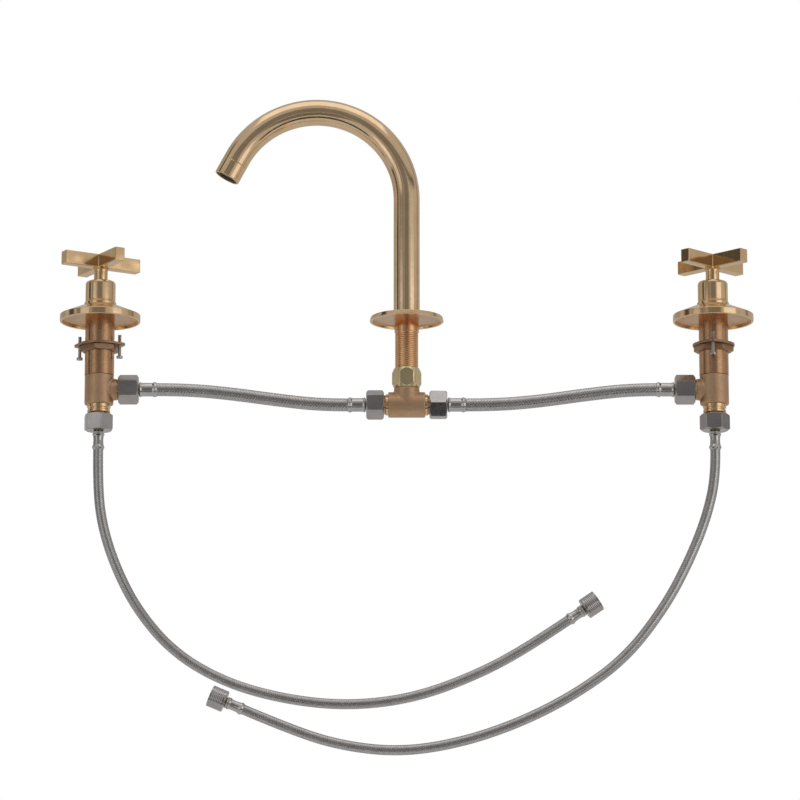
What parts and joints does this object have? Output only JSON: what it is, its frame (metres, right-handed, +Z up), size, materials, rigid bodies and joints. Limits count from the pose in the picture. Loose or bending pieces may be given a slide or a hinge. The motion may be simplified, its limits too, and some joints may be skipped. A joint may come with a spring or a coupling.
{
  "type": "bathroom mixer faucet",
  "caption": "Deck-mounted widespread basin mixer: gooseneck swivel spout, cross-handle valves, tee and braided hoses, in unlacquered brass.",
  "frame": {"origin": "on the deck surface, on the axis of the spout's shank", "axes": "+Z up out of the deck along the spout stem, +X towards the cold valve on the right, -Y towards the user; the spout's outlet points to -X at rest"},
  "size_m": [0.5814, 0.0676, 0.5592],
  "materials": {
    "polished_brass": "unlacquered brass, polished with fine brushing",
    "raw_brass": "machined raw brass, warm copper tone",
    "cast_brass": "bead-blasted cast brass, matt",
    "pale_brass": "turned pale yellow brass",
    "dull_brass": "as-pressed dull brown brass",
    "nickel_plate": "nickel plated, fine turned lines",
    "stainless_sleeve": "pressed stainless steel",
    "steel_braid": "stainless wire braid over a rubber hose",
    "zinc_screw": "zinc plated steel",
    "black_rubber": "black nitrile rubber",
    "dark_plastic": "dark grey moulded plastic",
    "white_ceramic": "white alumina ceramic, ground"
  },
  "bodies": {
    "deck_set": {"spout_escutcheon": "polished_brass", "spout_shank": "raw_brass", "spout_o_rings": "black_rubber", "spout_glide_ring": "dark_plastic", "coupling_nut": "pale_brass", "coupling_washer": "black_rubber", "tee_body": "cast_brass", "tee_nuts": "nickel_plate", "link_hose_tails": "pale_brass", "supply_hose_tails": "pale_brass", "hose_washers": "black_rubber", "hot_valve_casting": "cast_brass", "hot_valve_barrel": "raw_brass", "hot_escutcheon": "polished_brass", "hot_bonnet": "polished_brass", "hot_cartridge_body": "pale_brass", "hot_fixed_disc": "white_ceramic", "hot_disc_seal": "black_rubber", "hot_lugged_backnut": "dull_brass", "hot_jack_screws": "zinc_screw", "hot_outlet_nut": "nickel_plate", "hot_inlet_nut": "nickel_plate", "hot_link_hose": "steel_braid", "hot_link_ferrules": "stainless_sleeve", "hot_supply_hose": "steel_braid", "hot_supply_ferrules": "stainless_sleeve", "cold_valve_casting": "cast_brass", "cold_valve_barrel": "raw_brass", "cold_escutcheon": "polished_brass", "cold_bonnet": "polished_brass", "cold_cartridge_body": "pale_brass", "cold_fixed_disc": "white_ceramic", "cold_disc_seal": "black_rubber", "cold_lugged_backnut": "dull_brass", "cold_jack_screws": "zinc_screw", "cold_outlet_nut": "nickel_plate", "cold_inlet_nut": "nickel_plate", "cold_link_hose": "steel_braid", "cold_link_ferrules": "stainless_sleeve", "cold_supply_hose": "steel_braid", "cold_supply_ferrules": "stainless_sleeve"},
    "spout": {"spout_tube": "polished_brass", "outlet_collar": "polished_brass", "aerator_housing": "dark_plastic", "aerator_screen": "dark_plastic", "aerator_washer": "black_rubber", "spout_set_screw": "zinc_screw"},
    "hot_handle": {"hot_cross_handle": "polished_brass", "hot_handle_set_screw": "zinc_screw", "hot_spindle": "pale_brass", "hot_moving_disc": "white_ceramic", "hot_spindle_o_rings": "black_rubber"},
    "hot_inlet": {"hot_free_nut": "nickel_plate"},
    "cold_handle": {"cold_cross_handle": "polished_brass", "cold_handle_set_screw": "zinc_screw", "cold_spindle": "pale_brass", "cold_moving_disc": "white_ceramic", "cold_spindle_o_rings": "black_rubber"},
    "cold_inlet": {"cold_free_nut": "nickel_plate"}
  },
  "joints": [
    {"name": "spout_swivel", "type": "hinge", "parent": "deck_set", "child": "spout", "pos_m": [0, 0, 0], "axis": [0, 0, 1], "continuous": true},
    {"name": "hot_turn", "type": "hinge", "parent": "deck_set", "child": "hot_handle", "pos_m": [-0.257, 0, 0], "axis": [0, 0, 1], "range_deg": [0, 90]},
    {"name": "cold_turn", "type": "hinge", "parent": "deck_set", "child": "cold_handle", "pos_m": [0.257, 0, 0], "axis": [0, 0, 1], "range_deg": [-90, 0]},
    {"name": "hot_nut_spin", "type": "hinge", "parent": "deck_set", "child": "hot_inlet", "pos_m": [0.15868, 0.014, -0.2338], "axis": [0.8283, 0, 0.5603], "continuous": true},
    {"name": "cold_nut_spin", "type": "hinge", "parent": "deck_set", "child": "cold_inlet", "pos_m": [-0.16141, -0.007, -0.31631], "axis": [-0.9198, 0, 0.3923], "continuous": true}
  ]
}
